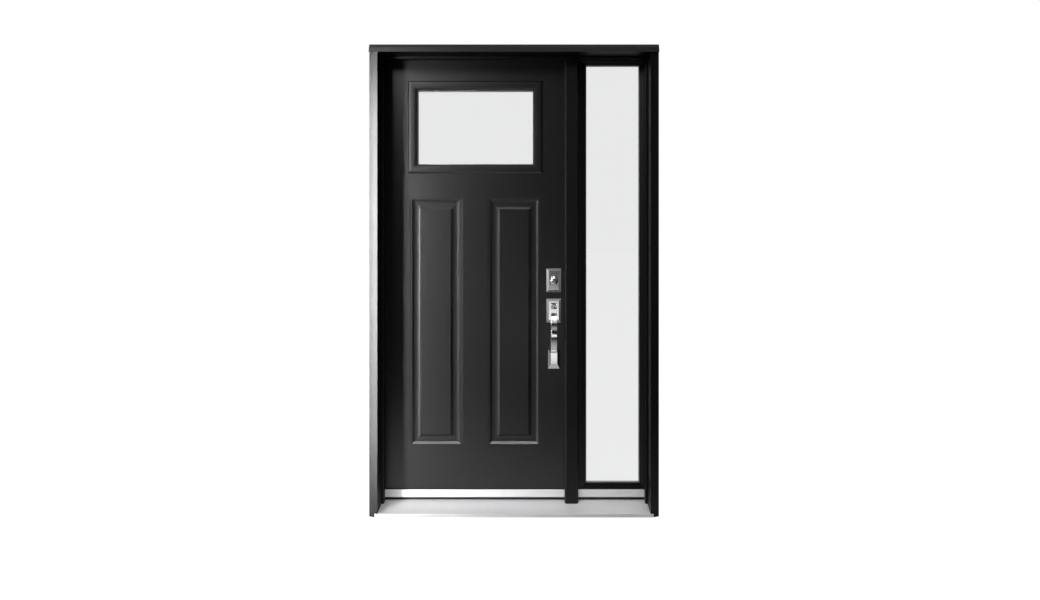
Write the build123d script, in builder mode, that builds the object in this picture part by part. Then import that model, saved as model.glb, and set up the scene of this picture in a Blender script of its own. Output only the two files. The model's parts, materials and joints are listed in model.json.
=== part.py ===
"""Entrance door in its frame, with a fixed sidelight at its lock side.

The door is a steel-faced, foam-filled slab with two raised panels and one small window. It hangs on
three butt hinges at the left, swings inward, and carries a rectangular deadbolt, a handleset with
a thumb piece and an arched grip. Frame, stops, mullion, casing, sill and sidelight are separate pieces.

Millimetres. +X is to the right seen from outside, +Y points indoors, +Z is up. The origin lies on the
underside of the sill, at the middle of the frame's width, in the plane of the outer wall's face.
"""

from build123d import *

import os

# Door slab
slab_width = 856.0
slab_height = 2006.0
slab_thickness = 44.0
skin_thickness = 1.0
hinge_stile_width = 32.0
lock_stile_width = 100.0
top_rail_height = 32.0
bottom_rail_height = 60.0
lock_edge_bevel = 2.3
sweep_height = 4.5
sweep_thickness = 22.0
sweep_inset = 6.0

# Clearances round the slab
side_gap = 5.5
head_gap = 5.5
sill_gap = 5.5
seal_clearance = 0.5
seal_width = 9.0
seal_joint = 0.3

# Frame
jamb_depth = 116.0
jamb_thickness = 21.0
rabbet_step = 6.5
mullion_core_width = 42.0
sidelight_opening = 326.0
stop_projection = 11.0
stop_front = 40.0
stop_depth = 28.0
stop_round = 2.0
mullion_lap_door = 19.0
mullion_lap_sidelight = 1.5
mullion_chamfer = 7.0

# Outer casing
casing_width = 39.0
head_casing_height = 36.0
casing_thickness = 32.0
casing_break = 21.0
casing_break_drop = 5.8
casing_edge_drop = 12.0

# Sill
nosing_height = 16.0
nosing_setback = 1.0
nosing_horn = 13.0
deck_back = 72.0
deck_rise = 19.0
deck_thickness = 3.0
break_thickness = 6.0
break_height = 15.5
saddle_front = 69.5
saddle_height = 21.5
saddle_wall = 2.5
strip_front = 62.0
strip_thickness = 4.5
strip_rise = 12.0
strip_flute_depth = 1.2
strip_flute_width = 7.0

# Raised panels of the two skins: margins to the slab's edges, then the pressed line's own sizes
panel_side_margin = 124.5
panel_gap = 115.0
panel_bottom = 204.0
panel_top_margin = 645.5
emboss_step = 0.7
emboss_step_run = 6.0
emboss_flat_run = 4.5
emboss_wall_run = 9.5
emboss_depth = 9.0
emboss_cove_run = 26.0
emboss_cove_sag = 1.2
emboss_rise_run = 10.5

# Window in the slab
lite_side_margin = 158.0
lite_top_margin = 148.0
lite_height = 346.0
lite_frame_width = 41.5
lite_frame_lap = 18.0
lite_frame_edge = 1.5
lite_rim_run = 6.5
lite_rim_level = 8.2
lite_crown_start = 15.0
lite_crown_end = 24.0
lite_crown_level = 8.7
lite_shoulder_run = 33.0
lite_shoulder_level = 8.0
lite_inner_run = 40.0
lite_inner_level = 0.5
lite_leg_end = 27.0
glass_thickness = 4.0
glass_unit_thickness = 28.0
glass_edge_cover = 10.0
spacer_width = 12.0
spacer_inset = 1.0

# Sidelight
bar_width = 38.0
bar_flat = 18.0
bar_bevel_depth = 6.0
bar_lip = 2.0
pocket_depth = 10.0
sidelight_unit_thickness = 22.0

# Hinges
hinge_count = 3
hinge_height = 102.0
hinge_leaf_width = 34.0
hinge_leaf_thickness = 3.0
hinge_end_distance = 180.0
knuckle_radius = 6.5
knuckle_count = 5
knuckle_gap = 0.4
knuckle_relief = 0.7
barrel_standoff = 7.5
pin_radius = 3.0
pin_clearance = 0.08
pin_head_radius = 5.0
pin_head_height = 3.0

# Lock and handle
lock_backset = 63.0
deadbolt_height = 974.5
handle_below_deadbolt = 140.0
plate_width = 68.0
plate_height = 110.0
plate_thickness = 8.0
plate_border = 11.0
plate_border_drop = 3.0
housing_radius = 20.5
housing_shoulder_radius = 18.0
housing_length = 16.0
housing_chamfer = 4.0
plug_radius = 8.5
plug_clearance = 0.08
plug_proud = 1.0
plug_length = 12.0
plug_end_gap = 0.3
key_slot_width = 2.2
key_slot_height = 9.0
key_slot_depth = 6.0
thumb_width = 25.0
thumb_neck_width = 12.0
thumb_reach = 30.0
thumb_drop = 18.0
thumb_plate_exit = 6.0
thumb_pad_start = 12.0
thumb_thickness = 5.0
thumb_hub_radius = 3.0
thumb_above_handle = 26.0
thumb_window_height = 24.0
thumb_window_shift = -3.0
thumb_side_clearance = 5.5
thumb_pin_radius = 1.6
thumb_pin_hold = 3.0
thumb_pin_end_gap = 0.3
thumb_pin_clearance = 0.08
grip_width = 28.0
grip_thickness = 10.0
grip_projection = 56.0
grip_top_below_handle = 10.0
grip_bottom_above_foot = 31.0
grip_end_height = 12.0
foot_width = 53.0
foot_height = 86.0
foot_rim = 3.0
foot_thickness = 18.0
foot_face_width = 30.0
foot_face_height = 60.0
foot_face_shift = 12.5
foot_below_handle = 226.0
faceplate_width = 25.0
faceplate_height = 57.0
faceplate_thickness = 2.0
strike_mouth_width = 19.0
strike_mouth_height = 28.0
knob_radius = 27.0
knob_length = 58.0
knob_neck_radius = 11.0
knob_neck_length = 18.0
knob_flare = 14.0
knob_front_bevel = 10.0
thumbturn_length = 40.0
thumbturn_width = 10.0
thumbturn_projection = 22.0
thumbturn_neck = 8.0

# Derived places
door_opening = slab_width + 2 * side_gap
rabbet_width = door_opening + mullion_core_width + sidelight_opening
inner_width = rabbet_width - 2 * rabbet_step
left_face = -inner_width / 2
right_face = inner_width / 2
left_rabbet = -rabbet_width / 2
right_rabbet = rabbet_width / 2
mullion_left = left_rabbet + door_opening
mullion_right = mullion_left + mullion_core_width
cover_left = mullion_left - mullion_lap_door
cover_right = mullion_right + mullion_lap_sidelight
slab_left = left_rabbet + side_gap
slab_right = slab_left + slab_width
slab_middle = (slab_left + slab_right) / 2
panel_width = (slab_width - 2 * panel_side_margin - panel_gap) / 2
panel_height = slab_height - panel_bottom - panel_top_margin
panel_spacing = panel_width + panel_gap
lite_width = slab_width - 2 * lite_side_margin
lite_bottom = slab_height - lite_top_margin - lite_height
slab_back = jamb_depth
slab_front = slab_back - slab_thickness
stop_back = stop_front + stop_depth
casing_front = -casing_thickness
nosing_front = casing_front + nosing_setback
deck_slope = deck_rise / (deck_back - nosing_front)
deck_back_top = nosing_height + deck_rise
saddle_bottom = deck_back_top + break_height
saddle_top = saddle_bottom + saddle_height
strip_top = saddle_top + strip_rise
slab_bottom = saddle_top + sill_gap
slab_top = slab_bottom + slab_height
head_rabbet = slab_top + head_gap
head_face = head_rabbet - rabbet_step
frame_top = head_face + jamb_thickness
casing_top = head_face + head_casing_height
hinge_axis_x = left_rabbet + side_gap / 2
hinge_axis_y = slab_back + barrel_standoff
lock_x = slab_right - lock_backset
deadbolt_z = slab_bottom + deadbolt_height
handle_z = deadbolt_z - handle_below_deadbolt
foot_z = handle_z - foot_below_handle
plate_front = slab_front - plate_thickness


def deck_top(y):
    """Height of the sloping sill deck at depth y."""
    return nosing_height + deck_slope * (y - nosing_front)


os.makedirs("parts", exist_ok=True)
written = []


def write(piece, label):
    """Labels a finished piece and writes its STEP file."""
    piece.part.label = label
    export_step(piece.part, f"parts/{label}.step")
    written.append(label)


# Side jambs run the full height, and the head jamb fits between them; all three are rabbeted
def hinge_heights():
    """Middle height of each hinge."""
    first = slab_bottom + hinge_end_distance
    step = (slab_height - 2 * hinge_end_distance) / (hinge_count - 1)
    return [first + index * step for index in range(hinge_count)]


with BuildPart() as left_jamb:
    with BuildSketch(Plane.XY):
        with Locations((left_face - jamb_thickness / 2, jamb_depth / 2)):
            Rectangle(jamb_thickness, jamb_depth)
    extrude(amount=frame_top)
    with BuildSketch(Plane.XY.offset(saddle_top)):
        with Locations((left_face - rabbet_step / 2, (stop_back + jamb_depth) / 2)):
            Rectangle(rabbet_step, jamb_depth - stop_back)
    extrude(amount=head_rabbet - saddle_top, mode=Mode.SUBTRACT)
    # Mortises for the frame leaves of the hinges
    for middle in hinge_heights():
        with BuildSketch(Plane.XY.offset(middle - hinge_height / 2)):
            with Locations((left_rabbet - hinge_leaf_thickness / 2, jamb_depth - hinge_leaf_width / 2)):
                Rectangle(hinge_leaf_thickness, hinge_leaf_width)
        extrude(amount=hinge_height, mode=Mode.SUBTRACT)
write(left_jamb, "left_jamb")

with BuildPart() as right_jamb:
    with BuildSketch(Plane.XY):
        with Locations((right_face + jamb_thickness / 2, jamb_depth / 2)):
            Rectangle(jamb_thickness, jamb_depth)
    extrude(amount=frame_top)
    with BuildSketch(Plane.XY.offset(saddle_top)):
        with Locations((right_face + rabbet_step / 2, (stop_back + jamb_depth) / 2)):
            Rectangle(rabbet_step, jamb_depth - stop_back)
    extrude(amount=head_rabbet - saddle_top, mode=Mode.SUBTRACT)
write(right_jamb, "right_jamb")

with BuildPart() as head_jamb:
    with BuildSketch(Plane.XY.offset(head_face)):
        with Locations((0, jamb_depth / 2)):
            Rectangle(inner_width, jamb_depth)
    extrude(amount=jamb_thickness)
    with BuildSketch(Plane.XY.offset(head_face)):
        with Locations((0, (stop_back + jamb_depth) / 2)):
            Rectangle(inner_width, jamb_depth - stop_back)
    extrude(amount=rabbet_step, mode=Mode.SUBTRACT)
write(head_jamb, "head_jamb")


def cut_to_deck(width):
    """Cuts the active upright so that it stands on the sloping deck."""
    with BuildSketch(Plane.YZ.offset(-width / 2)) as below:
        with BuildLine():
            Polyline(
                (casing_front, -deck_thickness),
                (deck_back, -deck_thickness),
                (deck_back, deck_top(deck_back)),
                (casing_front, deck_top(casing_front)),
                close=True,
            )
        make_face()
    extrude(below.sketch, amount=width, mode=Mode.SUBTRACT)


# The post between door and sidelight, and the broad cover in front of it
with BuildPart() as mullion_post:
    with BuildSketch(Plane.XY.offset(saddle_top)):
        with Locations(((mullion_left + mullion_right) / 2, (stop_back + jamb_depth) / 2)):
            Rectangle(mullion_core_width, jamb_depth - stop_back)
    extrude(amount=head_rabbet - saddle_top)
    # Mortises for the two strike plates
    for height in (deadbolt_z, handle_z):
        with BuildSketch(Plane.XY.offset(height - faceplate_height / 2)):
            with Locations((mullion_left + faceplate_thickness / 2, (slab_front + slab_back) / 2)):
                Rectangle(faceplate_thickness, faceplate_width)
        extrude(amount=faceplate_height, mode=Mode.SUBTRACT)
write(mullion_post, "mullion_post")

with BuildPart() as strike_plates:
    for height in (deadbolt_z, handle_z):
        with BuildSketch(Plane.XY.offset(height - faceplate_height / 2)):
            with Locations((mullion_left + faceplate_thickness / 2, (slab_front + slab_back) / 2)):
                Rectangle(faceplate_thickness, faceplate_width)
        extrude(amount=faceplate_height)
    # Pocket mouth for the bolt
    for height in (deadbolt_z, handle_z):
        with BuildSketch(Plane.XY.offset(height - strike_mouth_height / 2)):
            with Locations((mullion_left + faceplate_thickness / 2, (slab_front + slab_back) / 2)):
                Rectangle(2 * faceplate_thickness, strike_mouth_width)
        extrude(amount=strike_mouth_height, mode=Mode.SUBTRACT)
write(strike_plates, "strike_plates")

with BuildPart() as mullion_cover:
    with BuildSketch(Plane.XY):
        with BuildLine():
            Polyline(
                (cover_left, stop_back),
                (cover_left, stop_front + mullion_chamfer),
                (cover_left + mullion_chamfer, stop_front),
                (cover_right - mullion_chamfer, stop_front),
                (cover_right, stop_front + mullion_chamfer),
                (cover_right, stop_back),
                close=True,
            )
        make_face()
    extrude(amount=head_face)
    cut_to_deck(2 * rabbet_width)
write(mullion_cover, "mullion_cover")

# Stops on the jambs, with a small round on the edge that shows
with BuildPart() as left_stop:
    with BuildSketch(Plane.XY):
        with Locations((left_face + stop_projection / 2, (stop_front + stop_back) / 2)):
            Rectangle(stop_projection, stop_depth)
    extrude(amount=head_face)
    fillet(left_stop.edges().filter_by(Axis.Z).group_by(Axis.X)[-1].sort_by(Axis.Y)[0], stop_round)
    cut_to_deck(2 * rabbet_width)
write(left_stop, "left_stop")

with BuildPart() as right_stop:
    with BuildSketch(Plane.XY):
        with Locations((right_face - stop_projection / 2, (stop_front + stop_back) / 2)):
            Rectangle(stop_projection, stop_depth)
    extrude(amount=head_face)
    fillet(right_stop.edges().filter_by(Axis.Z).group_by(Axis.X)[0].sort_by(Axis.Y)[0], stop_round)
    cut_to_deck(2 * rabbet_width)
write(right_stop, "right_stop")

with BuildPart() as head_stops:
    for start, end in (
        (left_face + stop_projection, cover_left),
        (cover_right, right_face - stop_projection),
    ):
        with BuildSketch(Plane.YZ.offset(start)):
            with Locations(((stop_front + stop_back) / 2, head_face - stop_projection / 2)):
                Rectangle(stop_depth, stop_projection)
        extrude(amount=end - start)
    fillet(head_stops.edges().filter_by(Axis.X).group_by(Axis.Z)[0].group_by(Axis.Y)[0], stop_round)
write(head_stops, "head_stops")

# Outer casing: a face in two flats that fall away towards the outer edge
for name, side, inner in (("left_casing", -1, left_face), ("right_casing", 1, right_face)):
    with BuildPart() as casing:
        with BuildSketch(Plane.XY):
            with BuildLine():
                Polyline(
                    (inner, 0),
                    (inner, casing_front),
                    (inner + side * casing_break, casing_front + casing_break_drop),
                    (inner + side * casing_width, casing_front + casing_edge_drop),
                    (inner + side * casing_width, 0),
                    close=True,
                )
            make_face()
        extrude(amount=head_face)
        # Notch over the horn of the sill nosing
        with BuildSketch(Plane.YZ.offset(min(inner, inner + side * nosing_horn))):
            with BuildLine():
                Polyline(
                    (casing_front, 0),
                    (0, 0),
                    (0, deck_top(0)),
                    (casing_front, deck_top(casing_front)),
                    close=True,
                )
            make_face()
        extrude(amount=nosing_horn, mode=Mode.SUBTRACT)
    write(casing, name)

with BuildPart() as head_casing:
    with BuildSketch(Plane.YZ.offset(left_face - casing_width)):
        with BuildLine():
            Polyline(
                (0, head_face),
                (casing_front, head_face),
                (casing_front + casing_break_drop, head_face + casing_break),
                (casing_front + casing_edge_drop, casing_top),
                (0, casing_top),
                close=True,
            )
        make_face()
    extrude(amount=inner_width + 2 * casing_width)
write(head_casing, "head_casing")


# Sill: a composite base, a sloping metal deck with a nosing, a thermal break and a hollow saddle
with BuildPart() as sill_base:
    with BuildSketch(Plane.YZ.offset(left_face)):
        with BuildLine():
            Polyline(
                (nosing_front + deck_thickness, 0),
                (jamb_depth, 0),
                (jamb_depth, saddle_bottom),
                (deck_back + break_thickness, saddle_bottom),
                (deck_back + break_thickness, deck_back_top - deck_thickness),
                (deck_back, deck_back_top - deck_thickness),
                (nosing_front + deck_thickness, deck_top(nosing_front + deck_thickness) - deck_thickness),
                close=True,
            )
        make_face()
    extrude(amount=inner_width)
write(sill_base, "sill_base")

with BuildPart() as sill_deck:
    with BuildSketch(Plane.YZ.offset(left_face - nosing_horn)):
        with BuildLine():
            Polyline(
                (nosing_front, 0),
                (nosing_front, nosing_height),
                (deck_back, deck_back_top),
                (deck_back, deck_back_top - deck_thickness),
                (nosing_front + deck_thickness, deck_top(nosing_front + deck_thickness) - deck_thickness),
                (nosing_front + deck_thickness, 0),
                close=True,
            )
        make_face()
    extrude(amount=inner_width + 2 * nosing_horn)
    fillet(sill_deck.edges().filter_by(Axis.X).sort_by(Axis.Y)[:2].sort_by(Axis.Z)[-1], 1.5)
    # Behind the casing the deck is only as long as the space between the jambs
    for end in (left_face - nosing_horn, right_face):
        with BuildSketch(Plane.XY):
            with Locations((end + nosing_horn / 2, jamb_depth / 2)):
                Rectangle(nosing_horn, jamb_depth)
        extrude(amount=saddle_top, mode=Mode.SUBTRACT)
write(sill_deck, "sill_deck")

with BuildPart() as thermal_break:
    with BuildSketch(Plane.YZ.offset(left_face)):
        with Locations(
            (deck_back + break_thickness / 2, (deck_back_top - deck_thickness + saddle_bottom) / 2)
        ):
            Rectangle(break_thickness, break_height + deck_thickness)
    extrude(amount=inner_width)
write(thermal_break, "thermal_break")

with BuildPart() as threshold_saddle:
    saddle_depth = jamb_depth - saddle_front
    saddle_mid_z = (saddle_bottom + saddle_top) / 2
    with BuildSketch(Plane.YZ.offset(left_face)):
        with Locations((saddle_front + saddle_depth / 2, saddle_mid_z)):
            Rectangle(saddle_depth, saddle_height)
        # Two hollow chambers with a web between them
        chamber = (saddle_depth - 3 * saddle_wall) / 2
        for place in (0, 1):
            with Locations(
                (saddle_front + saddle_wall + chamber / 2 + place * (chamber + saddle_wall), saddle_mid_z)
            ):
                Rectangle(chamber, saddle_height - 2 * saddle_wall, mode=Mode.SUBTRACT)
    extrude(amount=inner_width)
    # Bright fluted strip: it stands before the foot of the slab, between the upright pieces
    for start, end in (
        (left_face + stop_projection, cover_left),
        (cover_right, right_face - stop_projection),
    ):
        with BuildSketch(Plane.YZ.offset(start)):
            with BuildLine():
                Polyline(
                    (strip_front, saddle_bottom),
                    (saddle_front, saddle_bottom),
                    (saddle_front, saddle_top),
                    (strip_front + strip_thickness, saddle_top),
                    (strip_front + strip_thickness, strip_top),
                    (strip_front, strip_top),
                    close=True,
                )
            make_face()
            with Locations((strip_front, (saddle_bottom + strip_top) / 2)):
                Rectangle(2 * strip_flute_depth, strip_flute_width, mode=Mode.SUBTRACT)
        extrude(amount=end - start)
write(threshold_saddle, "threshold_saddle")

# Bulb seals between the stops and the slab: the head seal fits between the upright ones
seal_depth = slab_front - seal_clearance - stop_back
with BuildPart() as weatherstrips:
    for middle in (left_rabbet + seal_width / 2, mullion_left - seal_width / 2):
        with BuildSketch(Plane.XY.offset(saddle_top)):
            with Locations((middle, stop_back + seal_depth / 2)):
                Rectangle(seal_width, seal_depth)
        extrude(amount=head_rabbet - saddle_top)
    with BuildSketch(Plane.YZ.offset(left_rabbet + seal_width + seal_joint)):
        with Locations((stop_back + seal_depth / 2, head_rabbet - seal_width / 2)):
            Rectangle(seal_depth, seal_width)
    extrude(amount=door_opening - 2 * seal_width - 2 * seal_joint)
write(weatherstrips, "weatherstrips")

# Sidelight: four bevelled bars mitred round a sealed glass unit
side_bottom = saddle_top
side_height = head_rabbet - side_bottom
side_middle = (mullion_right + right_rabbet) / 2
side_glass_front = stop_back + bar_bevel_depth + bar_lip
side_glass_back = side_glass_front + sidelight_unit_thickness


bar_frames = {
    "sidelight_left_bar": (mullion_right, side_bottom, (1, 0, 0), (0, 0, 1), side_height),
    "sidelight_right_bar": (right_rabbet, head_rabbet, (-1, 0, 0), (0, 0, -1), side_height),
    "sidelight_bottom_bar": (right_rabbet, side_bottom, (0, 0, 1), (-1, 0, 0), sidelight_opening),
    "sidelight_top_bar": (mullion_right, head_rabbet, (0, 0, -1), (1, 0, 0), sidelight_opening),
}
for name, (corner_x, corner_z, inward, along, length) in bar_frames.items():
    corner = Vector(corner_x, 0, corner_z)
    inward = Vector(*inward)
    along = Vector(*along)
    section_plane = Plane(origin=corner, x_dir=inward, z_dir=along)
    depth_sign = 1 if section_plane.y_dir.Y > 0 else -1
    with BuildPart() as bar:
        # Section of a bar: distance from the opening's edge, then depth
        with BuildSketch(section_plane):
            with BuildLine():
                section = [
                    (0, stop_back),
                    (bar_flat, stop_back),
                    (bar_width, stop_back + bar_bevel_depth),
                    (bar_width, side_glass_front),
                    (bar_width - pocket_depth, side_glass_front),
                    (bar_width - pocket_depth, side_glass_back),
                    (bar_width, side_glass_back),
                    (bar_width, side_glass_back + bar_lip),
                    (bar_flat, jamb_depth),
                    (0, jamb_depth),
                ]
                Polyline(*[(reach, depth_sign * depth) for reach, depth in section], close=True)
            make_face()
        extrude(amount=length)
        # Mitres at both ends
        split(bisect_by=Plane(origin=corner, z_dir=along - inward), keep=Keep.TOP)
        split(bisect_by=Plane(origin=corner + along * length, z_dir=along + inward), keep=Keep.BOTTOM)
    write(bar, name)


def glass_panes(label, middle, bottom, width, height, fronts):
    """Writes two panes as one node: bottom, width and height are of the glass itself."""
    with BuildPart() as panes:
        for front in fronts:
            with BuildSketch(Plane.XZ.offset(-front)):
                with Locations((middle, bottom + height / 2)):
                    Rectangle(width, height)
            extrude(amount=-glass_thickness)
    write(panes, label)


def spacer_ring(label, middle, bottom, width, height, front, back):
    """Writes the spacer that holds two panes apart, just inside their edges."""
    with BuildPart() as ring:
        with BuildSketch(Plane.XZ.offset(-front)):
            with Locations((middle, bottom + height / 2)):
                Rectangle(width - 2 * spacer_inset, height - 2 * spacer_inset)
                Rectangle(
                    width - 2 * spacer_inset - 2 * spacer_width,
                    height - 2 * spacer_inset - 2 * spacer_width,
                    mode=Mode.SUBTRACT,
                )
        extrude(amount=-(back - front))
    write(ring, label)


side_glass_width = sidelight_opening - 2 * bar_width + 2 * glass_edge_cover
side_glass_height = side_height - 2 * bar_width + 2 * glass_edge_cover
side_glass_bottom = side_bottom + bar_width - glass_edge_cover
glass_panes(
    "sidelight_panes", side_middle, side_glass_bottom, side_glass_width, side_glass_height,
    (side_glass_front, side_glass_back - glass_thickness),
)
spacer_ring(
    "sidelight_spacer", side_middle, side_glass_bottom, side_glass_width, side_glass_height,
    side_glass_front + glass_thickness, side_glass_back - glass_thickness,
)


# Door skins: pressed sheet with two raised panels and the window's cut-out
hole_width = lite_width + 2 * (lite_frame_width - lite_frame_lap)
hole_height = lite_height + 2 * (lite_frame_width - lite_frame_lap)
hole_mid_z = slab_bottom + lite_bottom + lite_height / 2
panel_mid_z = slab_bottom + panel_bottom + panel_height / 2
panel_middles = (slab_middle - panel_spacing / 2, slab_middle + panel_spacing / 2)


def emboss_line(drop):
    """Pressed line from the panel's outer edge inwards: (distance, depth), lowered by drop."""
    wall_start = emboss_step_run + emboss_flat_run
    cove_start = wall_start + emboss_wall_run
    cove_end = cove_start + emboss_cove_run
    return [
        (0, drop),
        (emboss_step_run, emboss_step + drop),
        (wall_start, emboss_step + drop),
        (cove_start, emboss_depth + drop),
        (cove_start + emboss_cove_run / 4, emboss_depth + emboss_cove_sag * 3 / 4 + drop),
        (cove_start + emboss_cove_run / 2, emboss_depth + emboss_cove_sag + drop),
        (cove_end - emboss_cove_run / 4, emboss_depth + emboss_cove_sag * 3 / 4 + drop),
        (cove_end, emboss_depth + drop),
        (cove_end + emboss_rise_run, drop),
    ]


emboss_run = emboss_line(0)[-1][0]


def groove(middle, face_y, into, top_line, bottom_line, mode):
    """Sweeps the space between two pressed lines round one panel; into is 1 or -1 along Y."""
    start = Vector(middle - panel_width / 2, face_y, panel_mid_z)
    loop_points = [
        (middle - panel_width / 2, face_y, panel_mid_z),
        (middle - panel_width / 2, face_y, panel_mid_z + panel_height / 2),
        (middle + panel_width / 2, face_y, panel_mid_z + panel_height / 2),
        (middle + panel_width / 2, face_y, panel_mid_z - panel_height / 2),
        (middle - panel_width / 2, face_y, panel_mid_z - panel_height / 2),
        (middle - panel_width / 2, face_y, panel_mid_z),
    ]
    with BuildLine() as loop:
        Polyline(*loop_points)
    with BuildSketch(Plane(origin=start, x_dir=(1, 0, 0), z_dir=(0, 0, 1))) as section:
        with BuildLine():
            points = [(u, into * v) for u, v in top_line] + [(u, into * v) for u, v in reversed(bottom_line)]
            Polyline(*points, close=True)
        make_face()
    sweep(sections=section.sketch, path=loop.wire(), transition=Transition.RIGHT, mode=mode)


core_front = slab_front + skin_thickness
core_back = slab_back - skin_thickness
deep_cut = [(0, -slab_thickness / 4), (emboss_run, -slab_thickness / 4)]


def cut_leaf_mortises():
    """Cuts the mortises of the door leaves from the active part."""
    for middle in hinge_heights():
        with BuildSketch(Plane.XY.offset(middle - hinge_height / 2)) as mortise:
            with Locations((slab_left + hinge_leaf_thickness / 2, slab_back - hinge_leaf_width / 2)):
                Rectangle(hinge_leaf_thickness, hinge_leaf_width)
        extrude(mortise.sketch, amount=hinge_height, mode=Mode.SUBTRACT)


for name, face_y, into, right_trim in (
    ("exterior_skin", slab_front, 1, lock_edge_bevel),
    ("interior_skin", slab_back, -1, 0.0),
):
    with BuildPart() as skin:
        with BuildSketch(Plane.XZ.offset(-face_y)):
            with Locations((slab_middle - right_trim / 2, (slab_bottom + slab_top) / 2)):
                Rectangle(slab_width - right_trim, slab_height)
            with Locations((slab_middle, hole_mid_z)):
                Rectangle(hole_width, hole_height, mode=Mode.SUBTRACT)
            for middle in panel_middles:
                with Locations((middle, panel_mid_z)):
                    Rectangle(panel_width, panel_height, mode=Mode.SUBTRACT)
        extrude(amount=-into * skin_thickness)
        for middle in panel_middles:
            groove(middle, face_y, into, emboss_line(0), emboss_line(skin_thickness), Mode.ADD)
            with BuildSketch(Plane.XZ.offset(-face_y)):
                with Locations((middle, panel_mid_z)):
                    Rectangle(panel_width - 2 * emboss_run, panel_height - 2 * emboss_run)
            extrude(amount=-into * skin_thickness)
        if name == "interior_skin":
            cut_leaf_mortises()
    write(skin, name)

# Edge members between the skins
core_left = slab_left + hinge_stile_width
core_right = slab_right - lock_stile_width
core_bottom = slab_bottom + bottom_rail_height
core_top = slab_top - top_rail_height

with BuildPart() as hinge_stile:
    with BuildSketch(Plane.XY.offset(slab_bottom)):
        with Locations((slab_left + hinge_stile_width / 2, (core_front + core_back) / 2)):
            Rectangle(hinge_stile_width, core_back - core_front)
    extrude(amount=slab_height)
    cut_leaf_mortises()
write(hinge_stile, "hinge_stile")


def lock_edge(y):
    """Place of the bevelled lock edge at depth y."""
    return slab_right - lock_edge_bevel * (slab_back - y) / slab_thickness


faceplate_front = (slab_front + slab_back - faceplate_width) / 2
faceplate_back = faceplate_front + faceplate_width
with BuildPart() as latch_faceplates:
    for height in (deadbolt_z, handle_z):
        with BuildSketch(Plane.XY.offset(height - faceplate_height / 2)):
            with BuildLine():
                Polyline(
                    (lock_edge(faceplate_front) - faceplate_thickness, faceplate_front),
                    (lock_edge(faceplate_front), faceplate_front),
                    (lock_edge(faceplate_back), faceplate_back),
                    (lock_edge(faceplate_back) - faceplate_thickness, faceplate_back),
                    close=True,
                )
            make_face()
        extrude(amount=faceplate_height)
write(latch_faceplates, "latch_faceplates")

with BuildPart() as lock_stile:
    with BuildSketch(Plane.XY.offset(slab_bottom)):
        with BuildLine():
            Polyline(
                (core_right, core_front),
                (lock_edge(core_front), core_front),
                (lock_edge(core_back), core_back),
                (core_right, core_back),
                close=True,
            )
        make_face()
    extrude(amount=slab_height)
    add(latch_faceplates.part, mode=Mode.SUBTRACT)
    for middle in panel_middles:
        groove(middle, slab_front, 1, deep_cut, emboss_line(skin_thickness), Mode.SUBTRACT)
        groove(middle, slab_back, -1, deep_cut, emboss_line(skin_thickness), Mode.SUBTRACT)
write(lock_stile, "lock_stile")

with BuildPart() as door_rails:
    for low, high in ((slab_bottom, core_bottom), (core_top, slab_top)):
        with BuildSketch(Plane.XY.offset(low)):
            with Locations(((core_left + core_right) / 2, (core_front + core_back) / 2)):
                Rectangle(core_right - core_left, core_back - core_front)
        extrude(amount=high - low)
write(door_rails, "door_rails")

with BuildPart() as foam_core:
    with BuildSketch(Plane.XZ.offset(-core_front)):
        with Locations(((core_left + core_right) / 2, (core_bottom + core_top) / 2)):
            Rectangle(core_right - core_left, core_top - core_bottom)
        with Locations((slab_middle, hole_mid_z)):
            Rectangle(hole_width, hole_height, mode=Mode.SUBTRACT)
    extrude(amount=-(core_back - core_front))
    for middle in panel_middles:
        groove(middle, slab_front, 1, deep_cut, emboss_line(skin_thickness), Mode.SUBTRACT)
        groove(middle, slab_back, -1, deep_cut, emboss_line(skin_thickness), Mode.SUBTRACT)
write(foam_core, "foam_core")

with BuildPart() as door_sweep:
    with BuildSketch(Plane.XY.offset(slab_bottom)):
        with Locations((slab_middle, (slab_front + slab_back) / 2)):
            Rectangle(slab_width - 2 * sweep_inset, sweep_thickness)
    extrude(amount=-sweep_height)
write(door_sweep, "door_sweep")


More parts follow.
